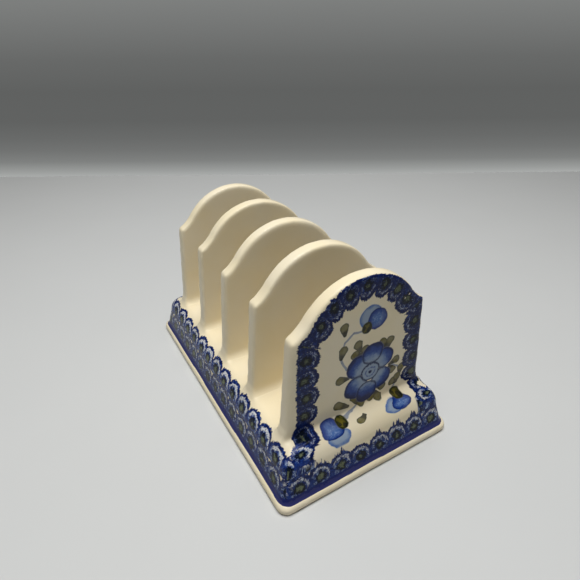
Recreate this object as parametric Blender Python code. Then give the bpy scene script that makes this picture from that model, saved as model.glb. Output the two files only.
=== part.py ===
"""A five-panel ceramic toast rack: foot rim, hollow plinth, two end panels, three dividers.

Frame: +Z up, X across the slices, Y along the row of slots, origin at the centre of the
underside. The decorated end faces -Y. Units are metres.
"""
import math

import bmesh
import bpy

MM = 0.001

# Driving dimensions
RACK_LENGTH = 165.0 * MM
RACK_WIDTH = 98.5 * MM
RACK_HEIGHT = 96.9 * MM
DECK_HEIGHT = 26.0 * MM
FOOT_HEIGHT = 4.2 * MM
FOOT_WIDTH = 8.0 * MM
FOOT_CORNER = 5.0 * MM
LEAST_CORNER = 3.0 * MM
FOOT_EDGE = 0.7 * MM
JOINT_GAP = 0.3 * MM

PANEL_COUNT = 5
PANEL_PITCH = 31.4 * MM
PANEL_THICKNESS = 6.7 * MM
ROOT_HALF_WIDTH = 37.2 * MM
SHOULDER_HALF_WIDTH = 33.8 * MM
SHOULDER_HEIGHT = 76.3 * MM
ARCH_RADIUS = 32.0 * MM
ARCH_END_ANGLE = 34.0
OGEE_TURN = 29.0
ROOT_FILLET = 4.2 * MM
SIDE_FLARE = 2.4 * MM
SIDE_FLARE_HEIGHT = 8.0 * MM
RIM_ROUNDING = 1.3 * MM

# The long sides rise to a round shoulder: (inset from the foot, height), in mm.
SIDE_SECTION = [(2.2, 4.5), (4.6, 14.0), (5.3, 17.0), (6.4, 20.2), (8.2, 23.2), (10.5, 25.2), (13.0, 26.0)]
# Each end has a lower skirt and a cove that sweeps up to the end panel's face.
END_SECTION = [(2.2, 4.5), (4.6, 14.4), (5.3, 16.0), (7.6, 17.1), (11.2, 19.0), (14.5, 22.6), (16.2, 26.0)]
# The hollow underneath, from the foot up to the underside of the deck.
SIDE_HOLLOW = [(7.6, 4.5), (9.6, 13.0), (11.6, 18.0), (15.0, 21.0)]
END_HOLLOW = [(7.6, 4.5), (9.2, 9.5), (12.6, 12.8), (20.0, 21.0)]

CORNER_STEPS = 5
END_FRACTIONS = [-0.9, -0.75, -0.6, 0.6, 0.75, 0.9]
BLEND_START = 0.62
BLEND_END = 0.98

GLAZE_COLOUR = (0.86, 0.80, 0.66, 1.0)
GLAZE_ROUGHNESS = 0.16


def clear_scene():
    for thing in list(bpy.data.objects):
        bpy.data.objects.remove(thing, do_unlink=True)


def glaze(name, shade):
    """Each member has its own cream glaze, a touch lighter or darker than its neighbour's."""
    material = bpy.data.materials.new(name)
    material.use_nodes = True
    shader = material.node_tree.nodes["Principled BSDF"]
    colour = [channel * shade for channel in GLAZE_COLOUR[:3]] + [1.0]
    shader.inputs["Base Color"].default_value = colour
    shader.inputs["Roughness"].default_value = GLAZE_ROUGHNESS
    shader.inputs["Metallic"].default_value = 0.0
    material.diffuse_color = colour
    return material


def add_object(name, mesh_data, shade, smooth_angle=40.0):
    mesh = bpy.data.meshes.new(name)
    bmesh.ops.recalc_face_normals(mesh_data, faces=mesh_data.faces)
    mesh_data.to_mesh(mesh)
    mesh_data.free()
    mesh.shade_smooth()
    mesh.set_sharp_from_angle(angle=math.radians(smooth_angle))
    thing = bpy.data.objects.new(name, mesh)
    bpy.context.collection.objects.link(thing)
    mesh.materials.append(glaze(name + "_glaze", shade))
    return thing


# ---------------------------------------------------------------- plinth and foot rim

def smooth_step(value):
    value = min(max(value, 0.0), 1.0)
    return value * value * (3.0 - 2.0 * value)


def outline_stations():
    """Places around a rounded rectangle: (side of X, side of Y, corner angle or end fraction)."""
    stations = []
    for quarter, (sign_x, sign_y) in enumerate([(1, 1), (-1, 1), (-1, -1), (1, -1)]):
        for step in range(CORNER_STEPS + 1):
            angle = math.radians(90.0 * (quarter + step / CORNER_STEPS))
            stations.append(("corner", sign_x, sign_y, angle))
        if quarter == 0:
            stations += [("end", 1, 1, fraction) for fraction in reversed(END_FRACTIONS)]
        if quarter == 2:
            stations += [("end", 1, -1, fraction) for fraction in END_FRACTIONS]
    return stations


def place_on_outline(station, inset):
    kind, sign_x, sign_y, value = station
    radius = max(FOOT_CORNER - 0.8 * inset, LEAST_CORNER)
    half_x = RACK_WIDTH / 2 - inset
    half_y = RACK_LENGTH / 2 - inset
    if kind == "end":
        return value * (half_x - radius), sign_y * half_y
    centre_x = sign_x * (half_x - radius)
    centre_y = sign_y * (half_y - radius)
    return centre_x + radius * math.cos(value), centre_y + radius * math.sin(value)


def end_weight(station):
    """1 in the middle of an end, where the cove is, and 0 at the corners and along the sides."""
    kind, _, _, value = station
    if kind != "end":
        return 0.0
    return 1.0 - smooth_step((abs(value) - BLEND_START) / (BLEND_END - BLEND_START))


def add_ring(mesh_data, side_point, end_point):
    """One closed loop of the lofted body, blended between its side and its end section."""
    ring = []
    for station in outline_stations():
        weight = end_weight(station)
        inset, height = [
            (1.0 - weight) * side * MM + weight * end * MM
            for side, end in zip(side_point, end_point)
        ]
        x, y = place_on_outline(station, inset)
        ring.append(mesh_data.verts.new((x, y, height)))
    return ring


def join_rings(mesh_data, lower, upper):
    count = len(lower)
    for index in range(count):
        after = (index + 1) % count
        mesh_data.faces.new((lower[index], lower[after], upper[after], upper[index]))


def make_plinth():
    mesh_data = bmesh.new()
    outer = [add_ring(mesh_data, side, end) for side, end in zip(SIDE_SECTION, END_SECTION)]
    inner = [add_ring(mesh_data, side, end) for side, end in zip(SIDE_HOLLOW, END_HOLLOW)]
    for rings in (outer, inner):
        for lower, upper in zip(rings, rings[1:]):
            join_rings(mesh_data, lower, upper)
        mesh_data.faces.new(rings[-1])
    join_rings(mesh_data, outer[0], inner[0])
    return add_object("plinth", mesh_data, 0.97)


def make_foot_rim():
    mesh_data = bmesh.new()
    top = FOOT_HEIGHT / MM
    edge = FOOT_EDGE / MM
    width = FOOT_WIDTH / MM
    section = [
        (edge, 0.0), (0.2 * edge, 0.3 * edge), (0.0, edge), (0.0, top - 1.6 * edge),
        (0.5 * edge, top - 0.5 * edge), (1.8 * edge, top),
        (width, top), (width, edge), (width - edge, 0.0),
    ]
    rings = [add_ring(mesh_data, point, point) for point in section]
    for lower, upper in zip(rings, rings[1:] + rings[:1]):
        join_rings(mesh_data, lower, upper)
    return add_object("foot_rim", mesh_data, 0.90)


# ---------------------------------------------------------------- the arched panels

def arc(centre, radius, start, end, steps):
    """Points on an arc, both ends included; angles in degrees."""
    points = []
    for step in range(steps + 1):
        angle = math.radians(start + (end - start) * step / steps)
        points.append((centre[0] + radius * math.cos(angle), centre[1] + radius * math.sin(angle)))
    return points


def panel_outline():
    """The panel seen from the end: flared foot, tall side, shoulder, ogee and round arch."""
    root = DECK_HEIGHT + JOINT_GAP
    arch_centre = (0.0, RACK_HEIGHT - ARCH_RADIUS)
    arch = arc(arch_centre, ARCH_RADIUS, ARCH_END_ANGLE, 90.0, 12)
    start_x, start_z = arch[0]
    chord = math.hypot(SHOULDER_HALF_WIDTH - start_x, start_z - SHOULDER_HEIGHT)
    ogee_radius = chord / (2.0 * math.sin(math.radians(OGEE_TURN / 2.0)))
    outward = math.radians(ARCH_END_ANGLE)
    ogee_centre = (
        start_x + ogee_radius * math.cos(outward),
        start_z + ogee_radius * math.sin(outward),
    )
    first = 180.0 + ARCH_END_ANGLE
    ogee = arc(ogee_centre, ogee_radius, first + OGEE_TURN, first, 5)
    foot = [
        (ROOT_HALF_WIDTH + SIDE_FLARE, root),
        (ROOT_HALF_WIDTH + 0.35 * SIDE_FLARE, root + 0.35 * SIDE_FLARE_HEIGHT),
        (ROOT_HALF_WIDTH, root + SIDE_FLARE_HEIGHT),
    ]
    half = foot + ogee + arch[1:]
    mirrored = [(-x, z) for x, z in reversed(half[:-1])]
    return half + mirrored


def panel_section(fillet_front, fillet_back):
    """The panel seen from the side: a slab whose faces curve out into the deck."""
    root = DECK_HEIGHT + JOINT_GAP
    half = PANEL_THICKNESS / 2
    top = RACK_HEIGHT + 2.0 * MM
    fillet = arc((half + ROOT_FILLET, root + ROOT_FILLET), ROOT_FILLET, 268.0, 180.0, 4)
    plain = [(half, root)]
    back = fillet if fillet_back else plain
    front = [(-y, z) for y, z in (fillet if fillet_front else plain)]
    return back + [(half, top), (-half, top)] + list(reversed(front))


def add_prism(name, outline, to_point, reach):
    """A closed prism: the outline at -reach and at +reach along the remaining axis."""
    mesh_data = bmesh.new()
    ends = [[mesh_data.verts.new(to_point(u, v, side)) for u, v in outline] for side in (-reach, reach)]
    mesh_data.faces.new(ends[0])
    mesh_data.faces.new(list(reversed(ends[1])))
    join_rings(mesh_data, ends[0], ends[1])
    return add_object(name, mesh_data, 1.0)


def round_rim(mesh_data):
    """Bevel every right-angled edge except those around the bottom face."""
    floor = DECK_HEIGHT + JOINT_GAP + 0.01 * MM
    rim = [
        edge for edge in mesh_data.edges
        if len(edge.link_faces) == 2
        and edge.calc_face_angle(0.0) > math.radians(60.0)
        and max(vert.co.z for vert in edge.verts) > floor
    ]
    bmesh.ops.bevel(mesh_data, geom=rim, offset=RIM_ROUNDING, offset_type="OFFSET",
                    segments=3, profile=0.5, affect="EDGES", clamp_overlap=True)


def make_panel(name, centre_y, fillet_front, fillet_back, shade):
    """The end view and the side view, each as a prism, cross to give the panel."""
    outline = add_prism(name + "_outline", panel_outline(), lambda u, v, w: (u, w, v), 0.015)
    section = add_prism(name + "_section", panel_section(fillet_front, fillet_back),
                        lambda u, v, w: (w, u, v), RACK_WIDTH)
    cross = outline.modifiers.new("cross", "BOOLEAN")
    cross.operation = "INTERSECT"
    cross.solver = "EXACT"
    cross.object = section
    bpy.context.view_layer.update()
    evaluated = outline.evaluated_get(bpy.context.evaluated_depsgraph_get())
    mesh_data = bmesh.new()
    mesh_data.from_mesh(evaluated.to_mesh())
    evaluated.to_mesh_clear()
    for helper in (outline, section):
        bpy.data.objects.remove(helper, do_unlink=True)
    bmesh.ops.remove_doubles(mesh_data, verts=mesh_data.verts, dist=0.00001)
    round_rim(mesh_data)
    panel = add_object(name, mesh_data, shade)
    panel.location.y = centre_y
    return panel


def make_panels():
    names = ["front_panel", "front_divider", "middle_divider", "rear_divider", "rear_panel"]
    for index, name in enumerate(names):
        centre_y = (index - (PANEL_COUNT - 1) / 2) * PANEL_PITCH
        make_panel(name, centre_y, fillet_front=index > 0,
                   fillet_back=index < PANEL_COUNT - 1, shade=1.0 - 0.02 * (index % 2))


clear_scene()
make_foot_rim()
make_plinth()
make_panels()
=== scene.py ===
# %% [markdown]
# # A cast ceramic toast rack
# This lesson models a toast rack that is slip-cast in stoneware, stamped with a blue border,
# painted with a spray of flowers and dipped in clear glaze. The frame gives the main
# sizes and places, and this file gives the looks: soft clay edges, glaze and painting.

# %% Load the frame
import math

import bpy
import numpy as np
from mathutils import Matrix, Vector


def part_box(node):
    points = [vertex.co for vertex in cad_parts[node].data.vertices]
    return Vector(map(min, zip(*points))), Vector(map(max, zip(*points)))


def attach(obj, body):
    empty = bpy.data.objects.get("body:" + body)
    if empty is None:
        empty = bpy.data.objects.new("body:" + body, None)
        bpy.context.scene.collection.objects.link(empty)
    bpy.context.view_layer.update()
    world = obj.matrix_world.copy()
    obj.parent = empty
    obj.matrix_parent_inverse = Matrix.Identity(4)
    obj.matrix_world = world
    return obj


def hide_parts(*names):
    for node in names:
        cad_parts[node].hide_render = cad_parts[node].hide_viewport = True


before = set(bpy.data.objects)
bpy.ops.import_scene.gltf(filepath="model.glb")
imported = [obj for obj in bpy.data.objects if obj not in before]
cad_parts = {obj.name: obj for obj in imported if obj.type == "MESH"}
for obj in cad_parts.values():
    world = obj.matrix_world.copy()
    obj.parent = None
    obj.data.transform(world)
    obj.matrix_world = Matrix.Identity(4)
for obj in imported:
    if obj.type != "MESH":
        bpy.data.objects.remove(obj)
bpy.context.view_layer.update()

MM = 0.001
print("nodes in the frame:", sorted(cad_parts))

# %% [markdown]
# ## Sizes
# Sizes come from the frame's own nodes, so the skin can't drift from the measured part. Only
# the shapes inside a node's box, such as the arch's radius, are named here again.

# %% Sizes from the frame
_, foot_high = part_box("foot_rim")
_, plinth_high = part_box("plinth")
front_low, front_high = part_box("front_panel")
middle_low, middle_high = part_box("middle_divider")

HALF_WIDTH = foot_high.x
HALF_LENGTH = foot_high.y
FOOT_TOP = foot_high.z
SKIRT_INSET = HALF_WIDTH - plinth_high.x
DECK = plinth_high.z
TOP = front_high.z

PANEL_THICKNESS = 6.7 * MM
PANEL_SHOULDER = 33.8 * MM
PANEL_SHOULDER_HEIGHT = 76.3 * MM
PANEL_ROOT = 37.6 * MM
ARCH_RADIUS = 32.0 * MM
ARCH_END = math.radians(34.0)
OGEE_RADIUS = 19.5 * MM
ROOT_FILLET = 4.2 * MM
COVE_RADIUS = 11.4 * MM

FRONT_FACE = front_low.y
END_PANEL_Y = FRONT_FACE + PANEL_THICKNESS / 2
PANEL_PLACES = [END_PANEL_Y * share for share in (1.0, 0.5, 0.0, -0.5, -1.0)]
PANEL_NODES = ["front_panel", "front_divider", "middle_divider", "rear_divider", "rear_panel"]
print("panels stand at", [round(y / MM, 1) for y in PANEL_PLACES], "mm")
print("middle divider is", round((middle_high.y - middle_low.y) / MM, 1), "mm thick")

# %% [markdown]
# ## Helpers
# The operators act on whatever is selected, so each helper first selects exactly what it
# means. A cutter is a solid whose shape is taken away, added, or kept in common.

# %% Selecting and combining
def select_only(*pieces):
    if bpy.context.object and bpy.context.object.mode != "OBJECT":
        bpy.ops.object.mode_set(mode="OBJECT")
    bpy.ops.object.select_all(action="DESELECT")
    for piece in pieces:
        piece.hide_set(False)
        piece.select_set(True)
    bpy.context.view_layer.objects.active = pieces[0]


def settle(piece):
    """Move the object's place, turn and scale into its mesh."""
    select_only(piece)
    bpy.ops.object.transform_apply(location=True, rotation=True, scale=True)


def apply_modifier(piece, kind, **settings):
    select_only(piece)
    modifier = piece.modifiers.new(kind.lower(), kind)
    for name, value in settings.items():
        setattr(modifier, name, value)
    bpy.ops.object.modifier_apply(modifier=modifier.name)


def combine(piece, other, operation):
    """Join, cut or cross two solids, and throw the second one away."""
    apply_modifier(piece, "BOOLEAN", object=other, operation=operation, solver="EXACT")
    bpy.data.objects.remove(other, do_unlink=True)


def edit_select(piece, kind, wanted):
    """Enter edit mode with just the wanted edges or faces selected."""
    select_only(piece)
    bpy.ops.object.mode_set(mode="EDIT")
    bpy.ops.mesh.select_mode(type=kind)
    bpy.ops.mesh.select_all(action="DESELECT")
    bpy.ops.object.mode_set(mode="OBJECT")
    mesh = piece.data
    parts = mesh.edges if kind == "EDGE" else mesh.polygons
    chosen = 0
    for part in parts:
        part.select = bool(wanted(part, mesh))
        chosen += part.select
    bpy.ops.object.mode_set(mode="EDIT")
    return chosen


def is_upright(edge, mesh):
    a, b = (mesh.vertices[index].co for index in edge.vertices)
    return abs(a.z - b.z) > 0.9 * (a - b).length


def add_block(name, low, high):
    """A box between two corners, as a primitive cube at its size and place."""
    low, high = Vector(low), Vector(high)
    bpy.ops.object.select_all(action="DESELECT")
    bpy.ops.mesh.primitive_cube_add(size=1.0, location=(low + high) / 2)
    block = bpy.context.object
    block.name = name
    block.scale = high - low
    settle(block)
    return block


def add_rod(name, centre, radius, length, axis, steps=96):
    """A round bar along X or Y."""
    turn = (0.0, math.pi / 2, 0.0) if axis == "X" else (math.pi / 2, 0.0, 0.0)
    bpy.ops.object.select_all(action="DESELECT")
    bpy.ops.mesh.primitive_cylinder_add(
        vertices=steps, radius=radius, depth=length, location=centre, rotation=turn)
    rod = bpy.context.object
    rod.name = name
    settle(rod)
    return rod


# %% [markdown]
# ## The plinth
# The plinth is a low hollow box with steep sides and round shoulders. A block could be
# bevelled to get the shoulders, but the round is taller than it is wide, so it is drawn as a
# potter's template would: the top face is pulled up in small steps and drawn in at each step.

# %% Pull up the plinth
SKIRT_TOP = 16.0 * MM
SKIRT_TOP_INSET = 4.9 * MM
SHOULDER_INSET = 13.0 * MM
SHOULDER_STEPS = 9

plinth_section = [(SKIRT_TOP_INSET, SKIRT_TOP)]
for step in range(1, SHOULDER_STEPS + 1):
    turn = math.radians(90.0 * step / SHOULDER_STEPS)
    plinth_section.append((
        SHOULDER_INSET - (SHOULDER_INSET - SKIRT_TOP_INSET) * math.cos(turn),
        SKIRT_TOP + (DECK - SKIRT_TOP) * math.sin(turn),
    ))

body_start = FOOT_TOP - 1.0 * MM
start_half = (HALF_WIDTH - SKIRT_INSET, HALF_LENGTH - SKIRT_INSET)
body = add_block("body", (-start_half[0], -start_half[1], body_start),
                 (start_half[0], start_half[1], FOOT_TOP))
edit_select(body, "EDGE", is_upright)
bpy.ops.mesh.bevel(offset=3.4 * MM, segments=8, affect="EDGES")
bpy.ops.object.mode_set(mode="OBJECT")
edit_select(body, "FACE", lambda face, mesh: face.normal.z > 0.9)
half_x, half_y = start_half
height = FOOT_TOP
for inset, level in plinth_section:
    bpy.ops.mesh.extrude_region_move(TRANSFORM_OT_translate={"value": (0, 0, level - height)})
    shrink = ((HALF_WIDTH - inset) / half_x, (HALF_LENGTH - inset) / half_y, 1.0)
    bpy.ops.transform.resize(value=shrink, center_override=(0, 0, level))
    half_x, half_y, height = HALF_WIDTH - inset, HALF_LENGTH - inset, level
bpy.ops.object.mode_set(mode="OBJECT")
print("plinth pulled up in", len(plinth_section), "steps to", round(height / MM, 1), "mm")

# %% [markdown]
# ## The cove at each end
# Below each end panel the plinth is scooped into a cove that carries the panel's face out to
# the skirt. A plain round bar would scoop the corners away as well. So the cutter is a
# spindle: a strip of outline is spun about its own axis, thick in the middle and thin at its ends.

# %% Spin the cove cutters
COVE_CENTRE = (FRONT_FACE - COVE_RADIUS, 28.3 * MM)
COVE_STRAIGHT = 25.0 * MM
COVE_REACH = 41.0 * MM
COVE_END_RADIUS = 5.0 * MM


def spindle_radius(x):
    share = min(max((abs(x) - COVE_STRAIGHT) / (COVE_REACH - COVE_STRAIGHT), 0.0), 1.0)
    ease = share * share * (3.0 - 2.0 * share)
    return COVE_RADIUS + (COVE_END_RADIUS - COVE_RADIUS) * ease


def add_cove_cutter(side):
    y, z = side * COVE_CENTRE[0], COVE_CENTRE[1]
    stations = [COVE_REACH * step / 12 for step in range(-12, 13)]
    bpy.ops.object.select_all(action="DESELECT")
    bpy.ops.mesh.primitive_plane_add(size=1.0, location=(0, 0, 0))
    cutter = bpy.context.object
    bpy.ops.object.mode_set(mode="EDIT")
    bpy.ops.mesh.merge(type="CENTER")
    bpy.ops.transform.translate(value=(stations[0], y, z))
    here = (stations[0], 0.0)
    for x in stations:
        radius = spindle_radius(x)
        bpy.ops.mesh.extrude_region_move(
            TRANSFORM_OT_translate={"value": (x - here[0], 0, radius - here[1])})
        here = (x, radius)
    bpy.ops.mesh.extrude_region_move(TRANSFORM_OT_translate={"value": (0, 0, -here[1])})
    bpy.ops.mesh.select_all(action="SELECT")
    bpy.ops.mesh.spin(steps=64, angle=math.tau, center=(0, y, z), axis=(1, 0, 0))
    bpy.ops.mesh.select_all(action="SELECT")
    bpy.ops.mesh.remove_doubles(threshold=0.00001)
    bpy.ops.mesh.normals_make_consistent(inside=False)
    bpy.ops.object.mode_set(mode="OBJECT")
    return cutter


for side in (1, -1):
    combine(body, add_cove_cutter(side), "DIFFERENCE")
print("coves cut; body has", len(body.data.polygons), "faces")

# %% [markdown]
# ## The hollow underneath and the foot
# A cast body is hollow, with walls of about five millimetres. The hollow is a block whose
# top is drawn in, so the walls stay even. The foot is a flat flange with round corners.

# %% Hollow and foot
HOLLOW_TOP = 21.0 * MM
hollow_half = (HALF_WIDTH - 7.8 * MM, HALF_LENGTH - 7.8 * MM)
hollow_top_half = (HALF_WIDTH - 14.5 * MM, HALF_LENGTH - 20.5 * MM)


def add_hollow(low_z):
    hollow = add_block("hollow", (-hollow_half[0], -hollow_half[1], low_z),
                       (hollow_half[0], hollow_half[1], HOLLOW_TOP))
    edit_select(hollow, "FACE", lambda face, mesh: face.normal.z > 0.9)
    shrink = (hollow_top_half[0] / hollow_half[0], hollow_top_half[1] / hollow_half[1], 1.0)
    bpy.ops.transform.resize(value=shrink, center_override=(0, 0, HOLLOW_TOP))
    bpy.ops.mesh.select_all(action="SELECT")
    bpy.ops.mesh.bevel(offset=2.5 * MM, segments=3, affect="EDGES")
    bpy.ops.object.mode_set(mode="OBJECT")
    return hollow


foot = add_block("foot", (-HALF_WIDTH, -HALF_LENGTH, 0.0), (HALF_WIDTH, HALF_LENGTH, FOOT_TOP))
edit_select(foot, "EDGE", is_upright)
bpy.ops.mesh.bevel(offset=5.0 * MM, segments=8, affect="EDGES")
bpy.ops.object.mode_set(mode="OBJECT")
print("foot and hollow sized")

# %% [markdown]
# ## One arched panel
# Seen from the end, a panel is a round disc standing on a block, with a small hollow curve on
# each shoulder between them. Building it from those solids keeps every curve a true arc. The
# foot of the panel gets a strip whose sides are scooped by two rods, which is the fillet that
# clay shows where a wall meets a floor.

# %% Build a panel
ARCH_CENTRE_Z = TOP - ARCH_RADIUS
ARCH_FOOT = (ARCH_RADIUS * math.cos(ARCH_END), ARCH_CENTRE_Z + ARCH_RADIUS * math.sin(ARCH_END))
OGEE_CENTRE = (
    ARCH_FOOT[0] + OGEE_RADIUS * math.cos(ARCH_END),
    ARCH_FOOT[1] + OGEE_RADIUS * math.sin(ARCH_END),
)
PANEL_SUNK = 5.0 * MM


def add_root_strip(y, fillet_front, fillet_back):
    half = PANEL_THICKNESS / 2
    reach = half + ROOT_FILLET
    low_y = y - (reach if fillet_front else half)
    high_y = y + (reach if fillet_back else half)
    width = PANEL_ROOT + 1.0 * MM
    strip = add_block("strip", (-width, low_y, DECK - 2.0 * MM),
                      (width, high_y, DECK + ROOT_FILLET))
    for wanted, side in ((fillet_front, -1), (fillet_back, 1)):
        if wanted:
            centre = (0.0, y + side * reach, DECK + ROOT_FILLET)
            combine(strip, add_rod("scoop", centre, ROOT_FILLET, 4 * width, "X"), "DIFFERENCE")
    return strip


def add_panel(y):
    half = PANEL_THICKNESS / 2
    bottom = DECK - PANEL_SUNK
    panel = add_block("panel", (-PANEL_SHOULDER, y - half, bottom),
                      (PANEL_SHOULDER, y + half, ARCH_FOOT[1]))
    edit_select(panel, "FACE", lambda face, mesh: face.normal.z < -0.9)
    widen = 1.0 + (PANEL_ROOT / PANEL_SHOULDER - 1.0) * (
        ARCH_FOOT[1] - bottom) / (PANEL_SHOULDER_HEIGHT - DECK)
    bpy.ops.transform.resize(value=(widen, 1.0, 1.0), center_override=(0, y, bottom))
    bpy.ops.object.mode_set(mode="OBJECT")
    for side in (-1, 1):
        centre = (side * OGEE_CENTRE[0], y, OGEE_CENTRE[1])
        combine(panel, add_rod("ogee", centre, OGEE_RADIUS, 4 * half, "Y", 160), "DIFFERENCE")
    disc = add_rod("disc", (0, y, ARCH_CENTRE_Z), ARCH_RADIUS, 2 * half, "Y", 192)
    combine(panel, disc, "UNION")
    return panel


SIDE_FLARE_RADIUS = 11.0 * MM
SIDE_FLARE_TOP = 33.5 * MM
SIDE_FLARE_REACH = 42.0 * MM


def add_side_flare(y, side):
    """The little skirt where a panel's narrow side runs out onto the plinth's shoulder."""
    half = PANEL_THICKNESS / 2
    inner, outer = sorted((side * 30.0 * MM, side * SIDE_FLARE_REACH))
    flare = add_block("flare", (inner, y - half, 20.0 * MM), (outer, y + half, SIDE_FLARE_TOP))
    centre = (side * (PANEL_ROOT - 0.2 * MM + SIDE_FLARE_RADIUS), y, SIDE_FLARE_TOP)
    combine(flare, add_rod("scoop", centre, SIDE_FLARE_RADIUS, 4 * half, "Y", 128), "DIFFERENCE")
    return flare


solids = [body, foot]
for index, y in enumerate(PANEL_PLACES):
    solids.append(add_panel(y))
    solids.append(add_root_strip(y, index > 0, index < len(PANEL_PLACES) - 1))
    solids += [add_side_flare(y, side) for side in (-1, 1)]
print(len(solids), "solids ready to be luted together")

# %% [markdown]
# ## Luting the body together
# Fired clay has no sharp edge anywhere, and glaze rounds it further. So the overlapping solids
# are joined, wrapped in one fine even skin by a voxel remesh, and smoothed until no
# edge and no inside corner is sharp.

# %% Remesh and soften
VOXEL = 0.72 * MM
SOFTENING_STEPS = 22
UNEVENNESS = 0.35 * MM

select_only(*solids)
bpy.ops.object.join()
body = bpy.context.object
apply_modifier(body, "REMESH", mode="VOXEL", voxel_size=VOXEL, use_smooth_shade=True)
apply_modifier(body, "SMOOTH", factor=0.5, iterations=SOFTENING_STEPS)
hand = bpy.data.textures.new("hand_unevenness", "CLOUDS")
hand.noise_scale = 0.035
apply_modifier(body, "DISPLACE", texture=hand, texture_coords="LOCAL",
               strength=UNEVENNESS, mid_level=0.5)
combine(body, add_hollow(-3.0 * MM), "DIFFERENCE")
print("skin has", len(body.data.polygons), "faces")

# %% [markdown]
# ## Seven named pieces
# A rack like this has a foot, a plinth and five panels, luted or cast together, so the skin
# is cut where they meet. Each piece keeps what lies between two level planes, and a bisect with
# its fill on closes the cut. The five panels come apart by themselves as loose parts.

# %% Cut the pieces
FOOT_SEAM = FOOT_TOP + 0.15 * MM
DECK_SEAM = DECK + 0.7 * MM


def cut_slab(name, low_z, high_z):
    select_only(body)
    bpy.ops.object.duplicate()
    piece = bpy.context.object
    piece.name = piece.data.name = name
    bpy.ops.object.mode_set(mode="EDIT")
    for level, clear in ((low_z, {"clear_inner": True}), (high_z, {"clear_outer": True})):
        bpy.ops.mesh.select_all(action="SELECT")
        bpy.ops.mesh.bisect(plane_co=(0, 0, level), plane_no=(0, 0, 1), use_fill=True, **clear)
    bpy.ops.object.mode_set(mode="OBJECT")
    return piece


foot_piece = cut_slab("foot_flange", -0.01, FOOT_SEAM)
plinth_piece = cut_slab("stamped_plinth", FOOT_SEAM, DECK_SEAM)
panels = cut_slab("panels", DECK_SEAM, 1.0)
bpy.data.objects.remove(body, do_unlink=True)

select_only(panels)
bpy.ops.mesh.separate(type="LOOSE")
loose = sorted(bpy.context.selected_objects, key=lambda piece: piece.bound_box[0][1])
print("panels cut free:", len(loose))

PIECE_NAMES = ["painted_front_panel", "front_divider_wall", "middle_divider_wall",
               "rear_divider_wall", "painted_rear_panel"]
panel_pieces = dict(zip(PANEL_NODES, loose))
for piece, name in zip(loose, PIECE_NAMES):
    piece.name = piece.data.name = name

pieces = {"foot_rim": foot_piece, "plinth": plinth_piece, **panel_pieces}
for node_name, piece in pieces.items():
    select_only(piece)
    bpy.ops.object.shade_smooth_by_angle(angle=math.radians(40.0))
    print(node_name, "has", len(piece.data.polygons), "faces")

# %% [markdown]
# ## Where the decorator works
# A decorator measures along the clay, not through the air. So each painted point gets two
# distances in metres, kept as a UV map called "sheet": how far along the side it is, and how
# far up the surface, following the skirt and the curve above it. A second map called "outline"
# says how far round the arch a point is, and how far in from its edge. A third map called
# "side" is 1 on the two ends and outer faces, and 0 on the long sides.

# %% Measure along the clay
def arc_points(centre, radius, start, end, steps):
    turns = [start + (end - start) * step / steps for step in range(steps + 1)]
    return [(centre[0] + radius * math.cos(turn), centre[1] + radius * math.sin(turn))
            for turn in turns]


def length_of(line):
    return sum(math.dist(a, b) for a, b in zip(line[:-1], line[1:]))


OUTSIDE_REACH = 6.0 * MM


def measure_on(line, points):
    """Length along a line to the place nearest each point, and how far right of it the point is.

    A point just left of the line gets a negative distance; far off, the side isn't told.
    """
    line = np.array(line)
    best = np.full(len(points), np.inf)
    along = np.zeros(len(points))
    walked = 0.0
    for start, end in zip(line[:-1], line[1:]):
        step = end - start
        length = float(np.hypot(*step))
        share = np.clip((points - start) @ step / length ** 2, 0.0, 1.0)
        gap = np.hypot(*(points - (start + share[:, None] * step)).T)
        nearer = gap < np.abs(best)
        to_right = step[1] * (points[:, 0] - start[0]) - step[0] * (points[:, 1] - start[1])
        outside = (to_right < 0.0) & (gap < OUTSIDE_REACH)
        best[nearer] = np.where(outside, -gap, gap)[nearer]
        along[nearer] = walked + share[nearer] * length
        walked += length
    return along, best


side_line = [(SKIRT_INSET, FOOT_TOP)] + plinth_section
cove_foot = (FRONT_FACE - COVE_RADIUS + HALF_LENGTH, COVE_CENTRE[1] - COVE_RADIUS)
end_line = [(SKIRT_INSET, FOOT_TOP), cove_foot]
end_line += arc_points((cove_foot[0], COVE_CENTRE[1]), COVE_RADIUS, -math.pi / 2, 0.0, 16)[1:]
end_line.append((end_line[-1][0], TOP + 0.01))
FACE_START = COVE_CENTRE[1]
end_length_to_face = length_of(end_line[:-1])
print("skirt and cove run", round(end_length_to_face / MM, 1), "mm up to the flat face")

arch_left = arc_points((0, ARCH_CENTRE_Z), ARCH_RADIUS, math.pi - ARCH_END, math.pi / 2, 24)
ogee_left = arc_points((-OGEE_CENTRE[0], OGEE_CENTRE[1]), OGEE_RADIUS, -math.pi / 2, -ARCH_END, 10)
ogee_left = [point for point in ogee_left if point[0] > -PANEL_SHOULDER]
curve_left = ogee_left + arch_left
curve_right = [(-x, z) for x, z in reversed(curve_left[:-1])]
BORDER_LEFT = [(-34.4 * MM, 0.0), (-34.0 * MM, 60.0 * MM)]
BORDER_RIGHT = [(34.6 * MM, 62.0 * MM), (39.0 * MM, 28.0 * MM), (40.0 * MM, 0.0)]
outline = BORDER_LEFT + curve_left + curve_right + BORDER_RIGHT


# %% Write the three maps
def write_map(mesh, name, values):
    layer = mesh.uv_layers.new(name=name)
    layer.data.foreach_set("uv", np.asarray(values, dtype=np.float32).ravel())


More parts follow.
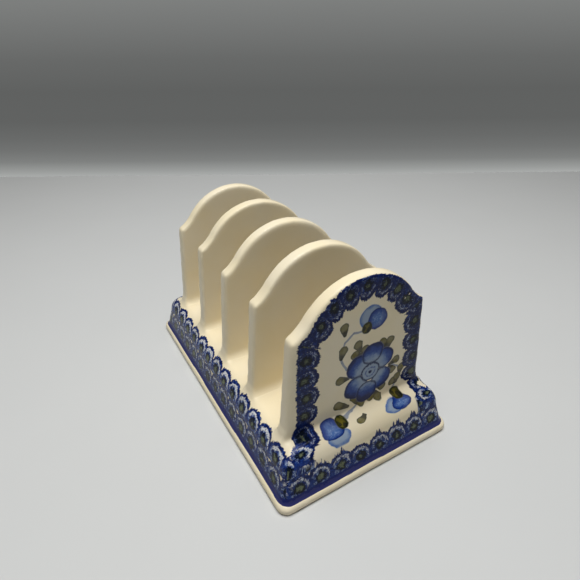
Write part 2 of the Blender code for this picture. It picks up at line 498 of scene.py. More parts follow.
def map_piece(piece):
    mesh = piece.data
    places = np.empty(len(mesh.vertices) * 3)
    mesh.vertices.foreach_get("co", places)
    places = places.reshape(-1, 3)
    corner_vertex = np.empty(len(mesh.loops), dtype=int)
    mesh.loops.foreach_get("vertex_index", corner_vertex)
    face_size = np.empty(len(mesh.polygons), dtype=int)
    mesh.polygons.foreach_get("loop_total", face_size)
    normals = np.empty(len(mesh.polygons) * 3)
    mesh.polygons.foreach_get("normal", normals)
    normals = normals.reshape(-1, 3)
    corner_normal = np.repeat(normals, face_size, axis=0)
    centres = np.empty(len(mesh.polygons) * 3)
    mesh.polygons.foreach_get("center", centres)
    face_y = np.repeat(centres.reshape(-1, 3)[:, 1], face_size)

    x, y, z = places.T
    end_up, _ = measure_on(end_line, np.column_stack([HALF_LENGTH - np.abs(y), z]))
    end_up += FACE_START - end_length_to_face
    side_up, _ = measure_on(side_line, np.column_stack([HALF_WIDTH - np.abs(x), z]))
    end_sheet = np.column_stack([x * -np.sign(y), end_up])
    side_sheet = np.column_stack([y * np.sign(x), side_up])
    round_arch, inward = measure_on(outline, end_sheet)

    faces_end = np.abs(corner_normal[:, 1]) > np.abs(corner_normal[:, 0])
    faces_end &= np.abs(face_y) > abs(FRONT_FACE) - 0.8 * MM
    if piece is not plinth_piece:
        faces_end &= np.abs(corner_normal[:, 1]) > 0.3
    sheet = np.where(faces_end[:, None], end_sheet[corner_vertex], side_sheet[corner_vertex])
    write_map(mesh, "sheet", sheet)
    write_map(mesh, "outline", np.column_stack([round_arch, inward])[corner_vertex])
    write_map(mesh, "side", np.column_stack([faces_end, np.zeros(len(faces_end))]))
    print(piece.name, "has", int(faces_end.sum()), "corners on its end faces")


for node_name in ("plinth", "front_panel", "rear_panel"):
    map_piece(pieces[node_name])
print("outline is", round(length_of(outline) / MM, 1), "mm long")

# %% [markdown]
# ## Arithmetic for the shaders
# The blue border and the painted spray are drawn by shader nodes, so they stay sharp at any
# size and need no picture. Wiring a hundred nodes by hand hides the idea, so a small class lets
# a node's output be added, scaled and compared as if it were a number. It is called a
# field, because it has a value at every point of the surface. All lengths in it are millimetres.

# %% Fields
class Field:
    def __init__(self, socket):
        self.socket = socket

    def math(self, operation, *others):
        node = self.socket.id_data.nodes.new("ShaderNodeMath")
        node.operation = operation
        for place, value in zip(node.inputs, (self, *others)):
            feed(place, value)
        return Field(node.outputs[0])

    def __add__(self, other):
        return self.math("ADD", other)

    def __sub__(self, other):
        return self.math("SUBTRACT", other)

    def __mul__(self, other):
        return self.math("MULTIPLY", other)

    def __truediv__(self, other):
        return self.math("DIVIDE", other)

    def ramp(self, start, end, low=0.0, high=1.0):
        """A smooth step from low, where the field is start, to high, where it is end."""
        node = self.socket.id_data.nodes.new("ShaderNodeMapRange")
        node.interpolation_type = "SMOOTHSTEP"
        for name, value in (("Value", self), ("From Min", start), ("From Max", end),
                            ("To Min", low), ("To Max", high)):
            feed(node.inputs[name], value)
        return Field(node.outputs[0])

    def invert(self):
        return self.math("MULTIPLY_ADD", -1.0, 1.0)


def feed(socket, value):
    if isinstance(value, Field):
        socket.id_data.links.new(value.socket, socket)
    else:
        socket.default_value = value


def make_node(tree, kind, settings=(), **inputs):
    node = tree.nodes.new(kind)
    for name, value in dict(settings).items():
        setattr(node, name, value)
    for name, value in inputs.items():
        feed(node.inputs[name.replace("_", " ")], value)
    return node


def join_xy(tree, x, y, z=0.0):
    return Field(make_node(tree, "ShaderNodeCombineXYZ", X=x, Y=y, Z=z).outputs[0])


def split_xyz(tree, vector):
    return [Field(out) for out in make_node(tree, "ShaderNodeSeparateXYZ", Vector=vector).outputs]


def noise(tree, vector, scale, detail=2.0, roughness=0.5):
    node = make_node(tree, "ShaderNodeTexNoise", Vector=vector, Scale=scale,
                     Detail=detail, Roughness=roughness)
    return Field(node.outputs["Fac"])


def cover_with(tree, below, colour, amount):
    """Paint a colour over what is below, as thickly as the amount says."""
    node = make_node(tree, "ShaderNodeMix", {"data_type": "RGBA"})
    feed(node.inputs[0], amount)
    feed(node.inputs[6], below)
    feed(node.inputs[7], colour)
    return Field(node.outputs[2])


def gap_to(tree, point, x, y, radius):
    """Distance from a place, where 1 is the given radius."""
    node = make_node(tree, "ShaderNodeVectorMath", {"operation": "DISTANCE"})
    feed(node.inputs[0], point)
    node.inputs[1].default_value = (x, y, 0.0)
    return Field(node.outputs["Value"]) * (1.0 / radius)


def start_group(name, inputs, outputs):
    tree = bpy.data.node_groups.new(name, "ShaderNodeTree")
    for label, kind in inputs:
        tree.interface.new_socket(label, in_out="INPUT", socket_type=kind)
    for label, kind in outputs:
        tree.interface.new_socket(label, in_out="OUTPUT", socket_type=kind)
    entry = tree.nodes.new("NodeGroupInput")
    fields = [Field(out) for out in entry.outputs[:len(inputs)]]
    return tree, fields, tree.nodes.new("NodeGroupOutput")


def use_group(tree, group, *values):
    node = tree.nodes.new("ShaderNodeGroup")
    node.node_tree = group
    for socket, value in zip(node.inputs, values):
        feed(socket, value)
    return [Field(out) for out in node.outputs]


print("field helpers ready")

# %% [markdown]
# ## Pigments
# Cobalt under glaze runs from black-navy where it is thick to grey-blue where it is a thin
# wash. The greens are iron and chrome. The colours below are linear values, as shaders use.

# %% Pigments
INK = (0.003, 0.006, 0.012, 1.0)
NAVY = (0.004, 0.009, 0.060, 1.0)
COBALT = (0.012, 0.040, 0.220, 1.0)
LINE_BLUE = (0.006, 0.012, 0.110, 1.0)
STEM_BLUE = (0.150, 0.190, 0.280, 1.0)
MID_BLUE = (0.065, 0.140, 0.360, 1.0)
PALE_BLUE = (0.330, 0.430, 0.600, 1.0)
WASH_BLUE = (0.270, 0.340, 0.440, 1.0)
WHITE_CLAY = (0.740, 0.740, 0.700, 1.0)
OLIVE = (0.135, 0.112, 0.014, 1.0)
DARK_OLIVE = (0.022, 0.027, 0.009, 1.0)
EYE_GREEN = (0.170, 0.200, 0.110, 1.0)
print("pigments mixed")

# %% [markdown]
# ## The peacock-eye stamp
# The border is printed with one sponge stamp, again and again: an olive eye in a dark ring,
# blue petals round it, a white crescent, and a ragged dark arc on the outside. The group draws
# one row of stamps. Every print gets its own small shifts, lean and size of eye from random
# values that belong to its cell, because a hand never repeats itself.

# %% One row of stamps
STAMP_PITCH = 11.0
EYE_HEIGHT = 4.0
CRESCENT_RADIUS = 4.5
ARC_RADIUS = 7.0
FILLED_UP_TO = EYE_HEIGHT + 3.2
RAGGEDNESS = 5.0
FRINGE_DEPTH = 0.18

stamp_row, (along, up, seed, ink), stamp_out = start_group(
    "stamp_row",
    [("Along", "NodeSocketFloat"), ("Up", "NodeSocketFloat"), ("Seed", "NodeSocketFloat"),
     ("Ink", "NodeSocketFloat")],
    [("Colour", "NodeSocketColor"), ("Cover", "NodeSocketFloat")])



def by_ink(light, heavy):
    """A value that goes from light to heavy as the ink gets thicker."""
    return ink.ramp(0.0, 1.0, light, heavy)


# Each cell of the row has its own luck: a shift along, a shift up and a lean.
paper = join_xy(stamp_row, along, up, seed * 7.3)
turned_paper = join_xy(stamp_row, up, along, seed * 3.1 + 40.0)
rag_x = noise(stamp_row, paper, 0.42, 4.0, 0.75) - 0.5
rag_y = noise(stamp_row, turned_paper, 0.42, 4.0, 0.75) - 0.5
cell = (along / STAMP_PITCH).math("FLOOR")
luck_node = make_node(stamp_row, "ShaderNodeTexWhiteNoise", {"noise_dimensions": "2D"},
                      Vector=join_xy(stamp_row, cell, seed))
luck = split_xyz(stamp_row, Field(luck_node.outputs["Color"]))
across = along - (cell + 0.5) * STAMP_PITCH + (luck[0] - 0.5) * 1.1
above = up - EYE_HEIGHT + (luck[1] - 0.5) * 1.2
across = across + above * ((luck[2] - 0.5) * 0.16 + 0.06)
ragged_across = across + rag_x * RAGGEDNESS
ragged_above = above + rag_y * RAGGEDNESS
radius = (ragged_across * ragged_across + ragged_above * ragged_above).math("SQRT")
turn = ragged_above.math("ARCTAN2", ragged_across)
mottle = noise(stamp_row, paper, 0.75, 5.0, 0.75)
speck = noise(stamp_row, paper, 1.7, 4.0, 0.7)

# The ground is mottled blue, with pale petals round the eye and cobalt between two prints.
colour = cover_with(stamp_row, COBALT, NAVY, mottle.ramp(0.56, 0.42))
colour = cover_with(stamp_row, colour, MID_BLUE, mottle.ramp(0.54, 0.68) * by_ink(0.8, 0.35))
petals = (turn * 7.0 + rag_x * 14.0).math("SINE").ramp(0.1, 0.9)
petal_ring = radius.ramp(2.5, 3.2) * radius.ramp(5.4, 4.4)
colour = cover_with(stamp_row, colour, PALE_BLUE, petals * petal_ring * speck.ramp(0.40, 0.56))
wedge = across.math("ABSOLUTE").ramp(3.6, 5.0) * above.ramp(3.8, 1.8)
colour = cover_with(stamp_row, colour, COBALT, wedge * mottle.ramp(0.35, 0.6) * 0.8)
colour = cover_with(stamp_row, colour, PALE_BLUE, speck.ramp(0.63, 0.70) * by_ink(0.8, 0.24))

# The white crescent is clay that the sponge missed, so thick ink breaks it up.
crescent_width = ragged_above.ramp(-2.0, 4.0, 0.0, 0.75) * by_ink(0.85, 0.6)
crescent = (radius - CRESCENT_RADIUS).math("ABSOLUTE")
crescent = crescent.math("SUBTRACT", crescent_width).ramp(0.30, -0.10)
crescent = crescent * (ragged_above + across * 0.5).ramp(-1.0, 1.5)
crescent = crescent * speck.ramp(ink * 0.07 + 0.39, ink * 0.09 + 0.47)
colour = cover_with(stamp_row, colour, WHITE_CLAY, crescent * by_ink(0.85, 0.34))

# Dark ink lies on the outer arc, in thick prints everywhere, and round the eye.
arc = radius.ramp(5.1, 5.6) * above.ramp(-2.0, 1.0)
colour = cover_with(stamp_row, colour, NAVY, arc * mottle.ramp(0.62, 0.46) * by_ink(0.75, 1.0))
thick = (ink * mottle.ramp(0.70, 0.48)).math("MINIMUM", 0.92) * crescent.invert()
colour = cover_with(stamp_row, colour, NAVY, thick * speck.ramp(0.66, 0.60))
colour = cover_with(stamp_row, colour, INK, radius.ramp(3.3, 2.5) * speck.ramp(0.66, 0.56))
eye = (radius + luck[2] * 1.2).ramp(2.3, 1.5) * speck.ramp(0.34, 0.52) * by_ink(0.9, 0.6)
colour = cover_with(stamp_row, colour, EYE_GREEN, eye)

# The print covers the arc, whose edge is a fringe, and a filled strip below it.
fringe = (turn * 21.0 + rag_x * 30.0).math("SINE") * FRINGE_DEPTH
body_cover = (radius - rag_y * 2.0 + fringe).ramp(ARC_RADIUS + 0.15, ARC_RADIUS - 0.15)
low_cover = (up + rag_y * 2.6 + rag_x * 1.4).ramp(FILLED_UP_TO + 0.2, FILLED_UP_TO - 0.2)
cover = body_cover.math("MAXIMUM", low_cover) * (up + rag_x * 4.0).ramp(-0.4, -0.1)
feed(stamp_out.inputs[0], colour)
feed(stamp_out.inputs[1], cover)
print("stamp row drawn with", len(stamp_row.nodes), "nodes")

# %% [markdown]
# ## The painted spray
# The end of the rack carries a loose spray: a six-petalled flower, three buds and small
# olive leaves on thin stems. It is brush work, so every shape is a soft blob whose edge
# wanders a little and where pigment gathers. A leaf is one press of the brush that starts
# round and lifts to a dark tip. The layout is a list of strokes, in millimetres across and up
# the painted sheet.

# %% Brush strokes
spray, (spray_x, spray_v), spray_out = start_group(
    "spray", [("Across", "NodeSocketFloat"), ("Up", "NodeSocketFloat")],
    [("Colour", "NodeSocketColor"), ("Cover", "NodeSocketFloat")])
flat_point = join_xy(spray, spray_x, spray_v)
wander_x = (noise(spray, flat_point, 0.16, 3.0) - 0.5) * 2.0
wander_v = (noise(spray, join_xy(spray, spray_v, spray_x, 9.0), 0.16, 3.0) - 0.5) * 2.0
brush_point = join_xy(spray, spray_x + wander_x, spray_v + wander_v)
wash = noise(spray, join_xy(spray, spray_x, spray_v, 3.0), 0.28, 3.0, 0.6)
bristle = noise(spray, join_xy(spray, spray_x, spray_v, 21.0), 0.9, 2.0)


class Painting:
    """The colour and the cover painted so far, to which strokes are added one by one."""

    def __init__(self):
        self.colour = cover_with(spray, PALE_BLUE, WHITE_CLAY, wash)
        self.cover = wash.ramp(1.5, 2.0)

    def brush(self):
        """Where the brush is: it skids a hair on the paint below, so strokes come in order."""
        skid = make_node(spray, "ShaderNodeVectorMath", {"operation": "MULTIPLY_ADD"})
        feed(skid.inputs[0], self.colour)
        skid.inputs[1].default_value = (0.05, 0.05, 0.0)
        feed(skid.inputs[2], brush_point)
        return Field(skid.outputs[0])

    def add(self, colour, amount):
        self.colour = cover_with(spray, self.colour, colour, amount)
        self.cover = self.cover.math("MAXIMUM", amount)

    def tint(self, colour, amount):
        self.colour = cover_with(spray, self.colour, colour, amount)


painting = Painting()


def stroke_gap(start, end, start_radius, end_radius):
    """How far a point lies from a tapered stroke, and how far along the stroke it is."""
    dx, dv = end[0] - start[0], end[1] - start[1]
    offset = make_node(spray, "ShaderNodeVectorMath", {"operation": "SUBTRACT"})
    feed(offset.inputs[0], painting.brush())
    offset.inputs[1].default_value = (start[0], start[1], 0.0)
    dot = make_node(spray, "ShaderNodeVectorMath", {"operation": "DOT_PRODUCT"})
    feed(dot.inputs[0], Field(offset.outputs[0]))
    dot.inputs[1].default_value = (dx / (dx * dx + dv * dv), dv / (dx * dx + dv * dv), 0.0)
    share = Field(dot.outputs["Value"]).math("MAXIMUM", 0.0).math("MINIMUM", 1.0)
    place = make_node(spray, "ShaderNodeVectorMath", {"operation": "MULTIPLY_ADD"})
    feed(place.inputs[0], share)
    place.inputs[1].default_value = (-dx, -dv, 0.0)
    feed(place.inputs[2], Field(offset.outputs[0]))
    length = make_node(spray, "ShaderNodeVectorMath", {"operation": "LENGTH"})
    feed(length.inputs[0], Field(place.outputs[0]))
    width = share.math("MULTIPLY_ADD", end_radius - start_radius, start_radius)
    return Field(length.outputs["Value"]) / width, share


STEM_RADIUS = 0.55
LEAF_RADIUS = 2.55
LEAF_TIP_RADIUS = 1.05


def paint_stem(points):
    for start, end in zip(points[:-1], points[1:]):
        gap, _ = stroke_gap(start, end, STEM_RADIUS, STEM_RADIUS)
        painting.add(STEM_BLUE, gap.ramp(1.35, 0.75) * 0.85)


def paint_leaf(start, end):
    gap, share = stroke_gap(start, end, LEAF_RADIUS, LEAF_TIP_RADIUS)
    painting.add(OLIVE, gap.ramp(1.05, 0.90) * wash.ramp(0.25, 0.6, 1.0, 0.92))
    painting.tint(DARK_OLIVE, gap.ramp(1.06, 0.9) * (gap + wash * 0.4).ramp(0.7, 1.15, 0.1, 0.85))
    painting.tint(INK, gap.ramp(1.0, 0.8) * share.ramp(0.2, 0.65) * 0.85)


def paint_petal(x, v, radius, heart):
    """A round petal, washed pale towards the flower's heart and dark at its outer edge."""
    brush = painting.brush()
    gap = gap_to(spray, brush, x, v, radius)
    from_heart = gap_to(spray, brush, heart[0], heart[1], 1.0)
    amount = gap.ramp(1.03, 0.93)
    painting.add(WASH_BLUE, amount)
    painting.tint(MID_BLUE, amount * (from_heart + wash * 8.0).ramp(10.0, 15.0) * 0.9)
    outer = (from_heart + bristle * 3.0 + wash * 4.0).ramp(12.0, 15.5)
    painting.tint(COBALT, amount * outer * 0.9)
    painting.tint(NAVY, amount * (gap + bristle * 0.20).ramp(0.82, 1.02) * 0.85)
    painting.tint(NAVY, amount * (from_heart + wash * 6.0).ramp(15.0, 18.0) * 0.8)


print("brush strokes defined")

# %% Paint the spray
HEART = (6.5, 45.5)
HEART_RADIUS = 4.7
HEART_RING_RADIUS = 2.5
CUP_RADIUS = 3.0
paint_stem([(0.5, 70.5), (-5.0, 71.0), (-9.0, 68.0), (-10.4, 63.0), (-10.0, 57.5), (-7.0, 52.5)])
paint_stem([(1.0, 29.0), (-3.0, 26.4), (-8.5, 25.6)])
paint_stem([(19.0, 44.0), (22.8, 42.2), (25.0, 38.0), (24.2, 33.0), (22.0, 28.5)])
paint_stem([(-1.0, 62.0), (0.8, 58.5)])

LEAVES = [
    ((-9.6, 75.5), (-9.2, 72.0)), ((-9.5, 64.0), (-10.2, 60.2)), ((-1.8, 64.0), (-0.2, 60.0)),
    ((-2.8, 58.8), (0.2, 57.6)), ((2.6, 59.6), (1.4, 57.2)), ((12.0, 59.8), (14.2, 56.4)),
    ((16.4, 59.4), (15.2, 55.8)), ((-10.2, 47.4), (-6.0, 46.8)), ((-10.8, 32.8), (-5.0, 29.8)),
    ((-1.6, 33.4), (0.8, 29.0)), ((3.0, 28.8), (4.2, 31.4)), ((12.6, 27.8), (11.0, 31.0)),
    ((8.6, 29.2), (10.0, 31.2)), ((14.6, 33.0), (12.2, 33.6)), ((21.6, 46.4), (18.4, 45.0)),
    ((19.8, 40.8), (18.0, 43.2)), ((25.6, 40.2), (25.2, 36.4)), ((21.2, 32.8), (23.6, 31.6)),
    ((24.0, 34.6), (23.8, 32.0)), ((-1.8, 21.2), (1.2, 23.6)),
]
for start, end in LEAVES:
    paint_leaf(start, end)

for x, v, radius in ((-0.6, 51.2, 6.6), (13.6, 50.4, 6.0), (-1.0, 39.2, 6.7),
                     (13.2, 39.2, 6.1), (5.4, 34.2, 6.1), (7.0, 55.8, 6.0)):
    paint_petal(x, v, radius, HEART)

heart_gap = gap_to(spray, painting.brush(), *HEART, 1.0) + (bristle - 0.5) * 0.9
heart_rim = (heart_gap - HEART_RADIUS).math("ABSOLUTE").ramp(0.75, 0.25)
heart_ring = (heart_gap - HEART_RING_RADIUS).math("ABSOLUTE").ramp(0.55, 0.15)
painting.add(WASH_BLUE, heart_gap.ramp(HEART_RADIUS + 0.5, HEART_RADIUS))
painting.tint(NAVY, heart_rim * bristle.ramp(0.25, 0.5, 0.4, 0.9))
painting.tint(COBALT, heart_ring * bristle.ramp(0.62, 0.42, 0.1, 0.75))
painting.tint(NAVY, heart_gap.ramp(1.25, 0.75))

# A bud is two lobes, one thin and one thick with pigment, and a green cup where the stem ends.
BUDS = [
    ((3.8, 76.4, 6.0), (7.6, 74.2, 5.4), (2.2, 71.4)),
    ((-15.0, 17.0, 6.4), (-16.8, 22.4, 5.8), (-10.6, 24.4)),
    ((17.8, 19.6, 5.9), (22.2, 20.0, 5.9), (22.8, 26.2)),
]
for thin, thick, cup in BUDS:
    brush = painting.brush()
    thin_gap = gap_to(spray, brush, *thin)
    thick_gap = gap_to(spray, brush, *thick)
    thin_lobe = thin_gap.ramp(1.04, 0.94)
    thick_lobe = thick_gap.ramp(1.04, 0.94)
    painting.add(WASH_BLUE, thin_lobe)
    painting.tint(MID_BLUE, thin_lobe * (thin_gap + wash * 0.5).ramp(0.85, 1.25))
    painting.add(MID_BLUE, thick_lobe * 0.97)
    painting.tint(PALE_BLUE, thick_gap.ramp(1.0, 0.6) * bristle.ramp(0.45, 0.7) * 0.45)
    painting.tint(COBALT, thick_lobe * (thick_gap + wash * 0.9).ramp(0.75, 1.35))
    painting.tint(NAVY, thick_lobe * (thick_gap + bristle * 0.2).ramp(0.92, 1.1) * 0.8)
    brush = painting.brush()
    cup_gap = gap_to(spray, brush, *cup, CUP_RADIUS)
    cup_shape = cup_gap.ramp(1.06, 0.85)
    low_blot = gap_to(spray, brush, cup[0] + 0.9, cup[1] - 0.9, 1.4).ramp(1.1, 0.7)
    high_blot = gap_to(spray, brush, cup[0] - 1.2, cup[1] + 0.2, 0.8).ramp(1.1, 0.7)
    painting.add(OLIVE, cup_shape)
    painting.tint(DARK_OLIVE, cup_shape * (cup_gap + bristle).ramp(0.8, 1.3))
    painting.tint(INK, low_blot * 0.8)
    painting.tint(INK, high_blot * 0.7)

feed(spray_out.inputs[0], painting.colour)
feed(spray_out.inputs[1], painting.cover)
print("spray painted with", len(spray.nodes), "nodes")

# %% [markdown]
# ## The glaze
# All of the rack wears one clear glossy glaze over cream clay. The clay is never one colour:
# it has warm and cool clouds and a few iron specks. Real glaze also ripples slightly and
# has fine pits, so highlights break up. Every finish starts from this, with its own pigment.

# %% Cream glaze
CLAY_WARM = (0.800, 0.700, 0.485, 1.0)
CLAY_COOL = (0.800, 0.715, 0.530, 1.0)
IRON_SPECK = (0.300, 0.200, 0.110, 1.0)
GLAZE_ROUGHNESS = 0.16
GLAZE_SPECULAR = 0.13


def start_glaze(name):
    material = bpy.data.materials.new(name)
    material.use_nodes = True
    tree = material.node_tree
    shader = tree.nodes["Principled BSDF"]
    place = Field(make_node(tree, "ShaderNodeTexCoord").outputs["Object"])
    clouds = noise(tree, place, 45.0, 3.0)
    colour = cover_with(tree, CLAY_COOL, CLAY_WARM, clouds.ramp(0.35, 0.65))
    specks = noise(tree, place, 900.0, 1.0).ramp(0.80, 0.84)
    specks = specks * noise(tree, place, 110.0).ramp(0.5, 0.62)
    colour = cover_with(tree, colour, IRON_SPECK, specks * 0.55)
    ripple = noise(tree, place, 160.0, 2.0) * 0.7 + noise(tree, place, 1500.0, 1.0) * 0.04
    bump = make_node(tree, "ShaderNodeBump", Strength=0.22, Distance=0.0004, Height=ripple)
    feed(shader.inputs["Normal"], Field(bump.outputs["Normal"]))
    roughness = clouds.ramp(0.3, 0.7, GLAZE_ROUGHNESS - 0.05, GLAZE_ROUGHNESS + 0.06)
    feed(shader.inputs["Roughness"], roughness)
    shader.inputs["IOR"].default_value = 1.5
    shader.inputs["Specular IOR Level"].default_value = GLAZE_SPECULAR
    return material, tree, shader, place, colour


cream, _, cream_shader, _, cream_colour = start_glaze("cream_glaze")
feed(cream_shader.inputs["Base Color"], cream_colour)

# The foot ring stands on bare clay, wiped clean of glaze before firing.
BARE_CLAY = (0.400, 0.300, 0.190, 1.0)
foot_glaze, foot_tree, foot_shader, foot_place, foot_colour = start_glaze("foot_glaze")
foot_height = split_xyz(foot_tree, foot_place)[2] * 1000.0
wiped = (foot_height + noise(foot_tree, foot_place, 260.0) * 0.5).ramp(1.0, 0.5)
feed(foot_shader.inputs["Base Color"], cover_with(foot_tree, foot_colour, BARE_CLAY, wiped * 0.8))
print("cream glaze and wiped foot mixed")


# %% [markdown]
# ## Decorated finishes
# The plinth and the two outer panels share the same decoration, which runs across the joint
# between them. One function lays everything in the order a decorator would: the spray, the
# arch's border, the upper and the lower row, two stamps that turn the corners, and last the
# solid line above the foot.

# %% Decorate
HEAVY_INK, MEDIUM_INK, LIGHT_INK, CORNER_INK = 1.0, 0.45, 0.1, 0.15
BORDER_SQUEEZE = 1.07
BORDER_INSET = 0.4
BORDER_LEFT_INSET = 1.6
BORDER_DRIFT = 3.0
UPPER_ROW_START = 11.9
UPPER_ROW_DROP = 3.1
LOWER_ROW_SHIFT = 2.4
LINE_SHIFT = 2.3
LINE_TOP = 2.9
CORNER_STAMP_HEIGHT = 17.6
CORNER_STAMPS = ((-35.3, 1.0), (37.2, -1.0))


def read_map(tree, name):
    """The two values of a UV map, which holds metres, in millimetres."""
    node = tree.nodes.new("ShaderNodeUVMap")
    node.uv_map = name
    across, up, _ = split_xyz(tree, Field(node.outputs["UV"]))
    return across * 1000.0, up * 1000.0


def lay_stamps(tree, colour, along, up, seed, ink, where):
    print_colour, print_cover = use_group(tree, stamp_row, along, up, seed, ink)
    return cover_with(tree, colour, print_colour, print_cover * where)


def decorate(name):
    material, tree, shader, _, colour = start_glaze(name)
    across, up = read_map(tree, "sheet")
    round_arch, inward = read_map(tree, "outline")
    side_value, _ = read_map(tree, "side")
    on_end = side_value.ramp(0.0, 1000.0)
    on_side = on_end.invert()
    wobble = (noise(tree, join_xy(tree, across, up, 5.0), 0.10) - 0.5) * 1.6
    wavy_up = up + wobble

    spray_colour, spray_cover = use_group(tree, spray, across, up)
    colour = cover_with(tree, colour, spray_colour, spray_cover * on_end * up.ramp(11.0, 12.0))

    # The border sits further in on the left, and drifts outwards near the bottom.
    left_inset = across.ramp(0.0, -26.0, 0.0, BORDER_LEFT_INSET)
    drift = up.ramp(34.0, 24.0, 0.0, BORDER_DRIFT)
    inward = inward - BORDER_INSET + wobble * 0.5 - left_inset + drift
    on_border = on_end * wavy_up.ramp(18.5, 19.5) * inward.ramp(13.5, 12.5)
    colour = lay_stamps(tree, colour, round_arch * BORDER_SQUEEZE, inward, 3.0,
                        HEAVY_INK, on_border)

    # The upper row runs along the sides, rises near their ends and turns both corners.
    from_middle = across.math("ABSOLUTE")
    corner = from_middle.ramp(29.5, 30.5) * wavy_up.ramp(27.5, 26.5) * on_end
    stretch = from_middle.ramp(68.0, 76.0, 1.0, 0.74) * on_side
    upper = up - UPPER_ROW_START + on_end * UPPER_ROW_DROP
    upper = upper * stretch.math("MAXIMUM", on_end) + wobble * 0.5
    on_upper = (on_side * up.ramp(27.5, 26.8)).math("MAXIMUM", corner)
    colour = lay_stamps(tree, colour, across + 5.0, upper, 2.0, LIGHT_INK, on_upper)

    # The lower row and the line go all round. At the foot, up is 0 on the long sides and about
    # -2.3 on the ends, where it counts down from the flat face, so one of them is shifted.
    lower = up + 0.6 + wobble * 0.5 - on_side * LOWER_ROW_SHIFT
    colour = lay_stamps(tree, colour, across + on_side * 3.0, lower, 1.0,
                        MEDIUM_INK, up.ramp(14.5, 13.5))

    for x, tilt in CORNER_STAMPS:
        turned_along = (up - CORNER_STAMP_HEIGHT) * tilt + STAMP_PITCH / 2
        turned_up = (across - x) * tilt + EYE_HEIGHT
        in_corner = wavy_up.ramp(10.5, 11.5) * wavy_up.ramp(25.0, 24.0) * on_end
        colour = lay_stamps(tree, colour, turned_along, turned_up, 4.0 + tilt,
                            CORNER_INK, in_corner)

    line = (up + on_end * LINE_SHIFT + wobble * 0.3).ramp(LINE_TOP, LINE_TOP - 0.4)
    colour = cover_with(tree, colour, LINE_BLUE, line * 0.97)
    feed(shader.inputs["Base Color"], colour)
    return material


stamped = decorate("stamped_glaze")
print("decorated finish has", len(stamped.node_tree.nodes), "nodes")

# %% Dress the pieces
FINISHES = {
    "foot_rim": (foot_glaze, "cream_glaze"),
    "plinth": (stamped, "stamped_glaze"),
    "front_panel": (stamped, "painted_glaze"),
    "rear_panel": (stamped, "painted_glaze"),
}
for node_name, piece in pieces.items():
    material, slot = FINISHES.get(node_name, (cream, "cream_glaze"))
    piece.data.materials.clear()
    piece.data.materials.append(material)
    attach(piece, "root")
    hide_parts(node_name)
print("dressed", len(pieces), "pieces")

# %% [markdown]
# ## Table, backdrop and light
# The rack stands on a plain pale table that ends a little way behind it, in front of a grey
# backdrop that glows by itself and carries painted light: a painted fall of light that is darker
# at mid height. One large soft light hangs nearly overhead, so the tops and the deck are bright
# and upright faces are in gentle shade.

# %% Stage
CAMERA_PLACE = Vector((-0.1025, -0.1819, 0.1833))
CAMERA_ANGLES = (58.65, 0.46, -30.55)
TABLE_EDGE = 0.60
BACKDROP_DISTANCE = 3.0
heading = math.radians(30.27)
ahead = Vector((math.sin(heading), math.cos(heading), 0.0))


def add_plane(name, size, place, rotation):
    bpy.ops.object.select_all(action="DESELECT")
    bpy.ops.mesh.primitive_plane_add(size=1.0)
    plane = bpy.context.object
    plane.name = name
    plane.scale = (size[0], size[1], 1.0)
    bpy.ops.object.transform_apply(location=False, rotation=False, scale=True)
    plane.rotation_euler = rotation
    plane.location = place
    settle(plane)
    return plane


def add_matt(name, paint, glow=0.0):
    """A matt finish whose colour the paint function gives; glow makes it shine by itself."""
    material = bpy.data.materials.new(name)
    material.use_nodes = True
    tree = material.node_tree
    shader = tree.nodes["Principled BSDF"]
    shader.inputs["Roughness"].default_value = 0.6
    shader.inputs["Specular IOR Level"].default_value = 0.2
    place = Field(make_node(tree, "ShaderNodeTexCoord").outputs["Object"])
    feed(shader.inputs["Emission Color" if glow else "Base Color"], paint(tree, place))
    if glow:
        shader.inputs["Base Color"].default_value = (0.0, 0.0, 0.0, 1.0)
        shader.inputs["Emission Strength"].default_value = glow
    return material


TABLE_SIZE = (8.0, 4.0)
BACKDROP_SIZE = (12.0, 4.0)
table_edge = Vector((CAMERA_PLACE.x, CAMERA_PLACE.y, 0.0)) + ahead * TABLE_EDGE
table = add_plane("table", TABLE_SIZE, table_edge - ahead * TABLE_SIZE[1] / 2, (0, 0, -heading))
table.data.materials.append(add_matt("pale_table", lambda tree, place: cover_with(
    tree, (0.565, 0.572, 0.562, 1.0), (0.585, 0.592, 0.582, 1.0), noise(tree, place, 14.0))))

backdrop_place = table_edge + ahead * (BACKDROP_DISTANCE - TABLE_EDGE)
backdrop = add_plane("backdrop", BACKDROP_SIZE, backdrop_place, (math.pi / 2, 0, -heading))
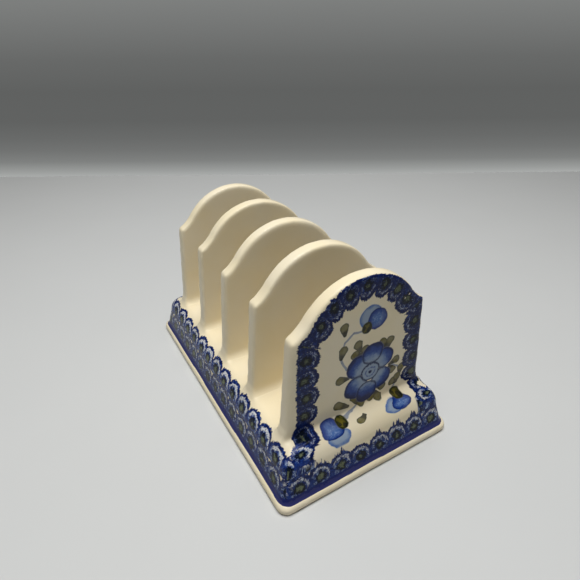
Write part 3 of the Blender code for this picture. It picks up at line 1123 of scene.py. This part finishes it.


# Painted light: the backdrop's grey, lighter near the table and at the top and darker at mid
# height, stands in for how the light falls on it.
def backdrop_painted_light(tree, place):
    height = split_xyz(tree, place)[2]
    ramp = tree.nodes.new("ShaderNodeValToRGB")
    steps = [(0.13, 0.43), (0.165, 0.33), (0.22, 0.215), (0.28, 0.168), (0.34, 0.143),
             (0.43, 0.120), (0.575, 0.117), (0.72, 0.138), (0.96, 0.205)]
    while len(ramp.color_ramp.elements) < len(steps):
        ramp.color_ramp.elements.new(0.5)
    for element, (place_on_ramp, grey) in zip(ramp.color_ramp.elements, steps):
        element.position = place_on_ramp
        element.color = (grey * 0.99, grey * 1.02, grey, 1.0)
    feed(ramp.inputs["Fac"], (height + 0.9) / 1.2)
    return Field(ramp.outputs["Color"])


# The backdrop glows by itself with this painted fall of light, so no lamp lights it.
backdrop.data.materials.append(add_matt("glowing_backdrop_painted_light", backdrop_painted_light, glow=1.0))
print("stage set")

# %% Light
world = bpy.data.worlds.new("studio")
bpy.context.scene.world = world
world.use_nodes = True
world.node_tree.nodes["Background"].inputs["Color"].default_value = (0.97, 0.98, 1.0, 1.0)
world.node_tree.nodes["Background"].inputs["Strength"].default_value = 0.045


def add_softbox(name, place, size, power, target=(0.0, 0.0, 0.05)):
    data = bpy.data.lights.new(name, "AREA")
    data.shape = "RECTANGLE"
    data.size, data.size_y = size
    data.energy = power
    light = bpy.data.objects.new(name, data)
    bpy.context.collection.objects.link(light)
    light.location = place
    light.rotation_euler = (Vector(target) - Vector(place)).to_track_quat("-Z", "Y").to_euler()
    return light


LIGHT_PLACE = (-0.05, -0.055, 0.85)
LIGHT_SIZE = (0.48, 0.48)
LIGHT_POWER = 8.2
overhead = add_softbox("overhead", LIGHT_PLACE, LIGHT_SIZE, LIGHT_POWER)
# The plain view transform keeps the full contrast of ink on cream.
bpy.context.scene.view_settings.view_transform = "Standard"
print("soft light of", overhead.data.energy, "W hangs", round(overhead.location.z, 2), "m up")

# %% Camera
camera_data = bpy.data.cameras.new("camera")
camera_data.sensor_width = 36.0
camera_data.lens = 28.07
camera_data.clip_start = 0.01
camera = bpy.data.objects.new("camera", camera_data)
bpy.context.collection.objects.link(camera)
camera.location = CAMERA_PLACE
camera.rotation_euler = [math.radians(angle) for angle in CAMERA_ANGLES]
bpy.context.scene.camera = camera
print("camera looks through a", round(camera_data.lens, 1), "mm lens")
